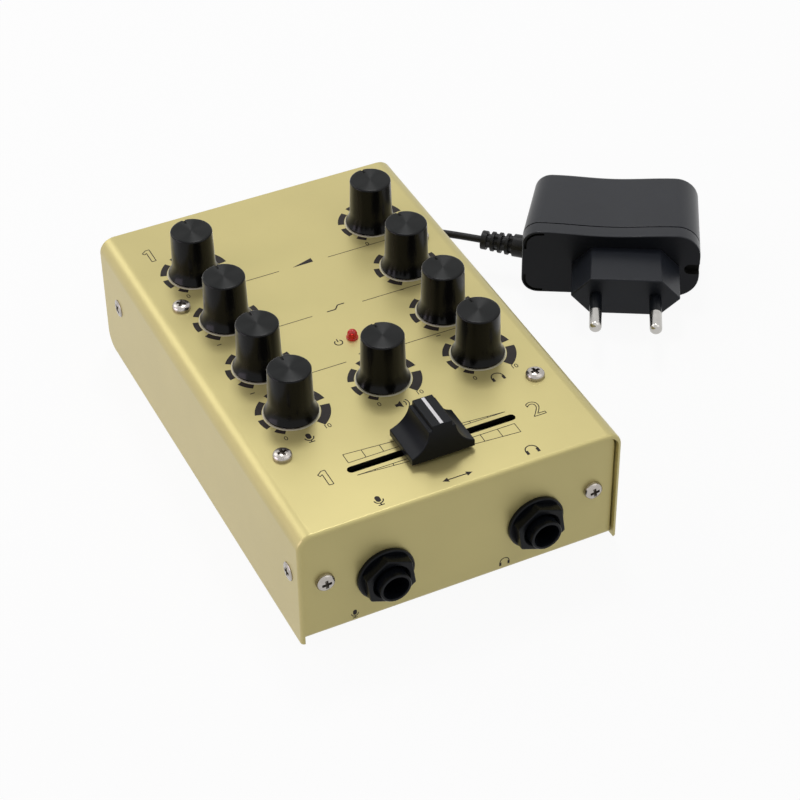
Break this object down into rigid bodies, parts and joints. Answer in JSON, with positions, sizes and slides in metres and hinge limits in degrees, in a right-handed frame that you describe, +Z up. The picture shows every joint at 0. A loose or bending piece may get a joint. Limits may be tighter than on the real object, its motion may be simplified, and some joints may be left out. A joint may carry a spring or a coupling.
{
  "type": "dj mixer",
  "caption": "Small two-channel table-top DJ mixer in a gold sheet-metal case, with turning knobs, a crossfader, front jack sockets, rear phono sockets and a plug-in power adapter on its cord.",
  "frame": {"origin": "on the table under the middle of the mixer, without its adapter and cord", "axes": "+X right along the front panel, +Y from front to rear, +Z up"},
  "size_m": [0.1988, 0.1956, 0.0572],
  "materials": {
    "gold_metal": "satin fine texture",
    "nickel": "bright nickel",
    "black_knob": "satin",
    "black_plastic": "satin",
    "adapter_plastic": "semi gloss",
    "board_green": "satin",
    "cord_black": "satin",
    "rubber": "matte",
    "tie_black": "matte",
    "red_lens": "clear red",
    "white_plastic": "gloss",
    "red_plastic": "gloss"
  },
  "bodies": {
    "case": {"top_cover": "gold_metal", "base_chassis": "gold_metal", "panel_screws": "nickel", "side_screws": "nickel", "top_screws": "nickel", "board_screws": "nickel", "board_standoffs": "nickel", "corner_brackets": "nickel", "rca_shells": "nickel", "fader_rails": "nickel", "fader_frame": "nickel", "ground_post": "nickel", "adapter_pins": "nickel", "mic_jack_body": "black_plastic", "mic_jack_nut": "black_plastic", "phones_jack_body": "black_plastic", "phones_jack_nut": "black_plastic", "dc_inlet": "black_plastic", "rca_blocks": "black_plastic", "pot_bodies": "black_plastic", "selector_bodies": "black_plastic", "board_components": "black_plastic", "adapter_rear_shell": "adapter_plastic", "adapter_front_shell": "adapter_plastic", "pin_sleeves": "adapter_plastic", "main_board": "board_green", "adapter_board": "board_green", "strain_relief": "cord_black", "cord_lead": "cord_black", "cord_coil": "cord_black", "cord_tail": "cord_black", "dc_plug": "cord_black", "rubber_feet": "rubber", "cord_tie": "tie_black", "power_led": "red_lens", "rca_inserts_left": "white_plastic", "rca_inserts_right": "red_plastic"},
    "gain_1_control": {"gain_1_knob": "black_knob", "gain_1_shaft": "nickel"},
    "high_1_control": {"high_1_knob": "black_knob", "high_1_shaft": "nickel"},
    "low_1_control": {"low_1_knob": "black_knob", "low_1_shaft": "nickel"},
    "mic_level_control": {"mic_level_knob": "black_knob", "mic_level_shaft": "nickel"},
    "gain_2_control": {"gain_2_knob": "black_knob", "gain_2_shaft": "nickel"},
    "high_2_control": {"high_2_knob": "black_knob", "high_2_shaft": "nickel"},
    "low_2_control": {"low_2_knob": "black_knob", "low_2_shaft": "nickel"},
    "cue_level_control": {"cue_level_knob": "black_knob", "cue_level_shaft": "nickel"},
    "master_control": {"master_knob": "black_knob", "master_shaft": "nickel"},
    "crossfader": {"fader_cap": "black_plastic", "fader_carriage": "black_plastic"},
    "selector_1_switch": {"selector_1": "black_plastic"},
    "selector_2_switch": {"selector_2": "black_plastic"}
  },
  "joints": [
    {"name": "gain_1_turn", "type": "hinge", "parent": "case", "child": "gain_1_control", "pos_m": [-0.0297, 0.0467, 0.0414], "axis": [0, 0, 1], "range_deg": [-150, 150]},
    {"name": "high_1_turn", "type": "hinge", "parent": "case", "child": "high_1_control", "pos_m": [-0.0297, 0.0214, 0.0414], "axis": [0, 0, 1], "range_deg": [-150, 150]},
    {"name": "low_1_turn", "type": "hinge", "parent": "case", "child": "low_1_control", "pos_m": [-0.0297, -0.0034, 0.0414], "axis": [0, 0, 1], "range_deg": [-150, 150]},
    {"name": "mic_level_turn", "type": "hinge", "parent": "case", "child": "mic_level_control", "pos_m": [-0.0297, -0.0261, 0.0414], "axis": [0, 0, 1], "range_deg": [-150, 150]},
    {"name": "gain_2_turn", "type": "hinge", "parent": "case", "child": "gain_2_control", "pos_m": [0.0297, 0.0467, 0.0414], "axis": [0, 0, 1], "range_deg": [-150, 150]},
    {"name": "high_2_turn", "type": "hinge", "parent": "case", "child": "high_2_control", "pos_m": [0.0297, 0.0214, 0.0414], "axis": [0, 0, 1], "range_deg": [-150, 150]},
    {"name": "low_2_turn", "type": "hinge", "parent": "case", "child": "low_2_control", "pos_m": [0.0297, -0.0034, 0.0414], "axis": [0, 0, 1], "range_deg": [-150, 150]},
    {"name": "cue_level_turn", "type": "hinge", "parent": "case", "child": "cue_level_control", "pos_m": [0.0297, -0.0261, 0.0414], "axis": [0, 0, 1], "range_deg": [-150, 150]},
    {"name": "master_turn", "type": "hinge", "parent": "case", "child": "master_control", "pos_m": [0, -0.0244, 0.0414], "axis": [0, 0, 1], "range_deg": [-150, 150]},
    {"name": "crossfader_slide", "type": "slide", "parent": "case", "child": "crossfader", "axis": [1, 0, 0], "range_m": [-0.0225, 0.0225]},
    {"name": "selector_1_slide", "type": "slide", "parent": "case", "child": "selector_1_switch", "axis": [1, 0, 0], "range_m": [0, 0.004]},
    {"name": "selector_2_slide", "type": "slide", "parent": "case", "child": "selector_2_switch", "axis": [1, 0, 0], "range_m": [0, 0.004]}
  ]
}
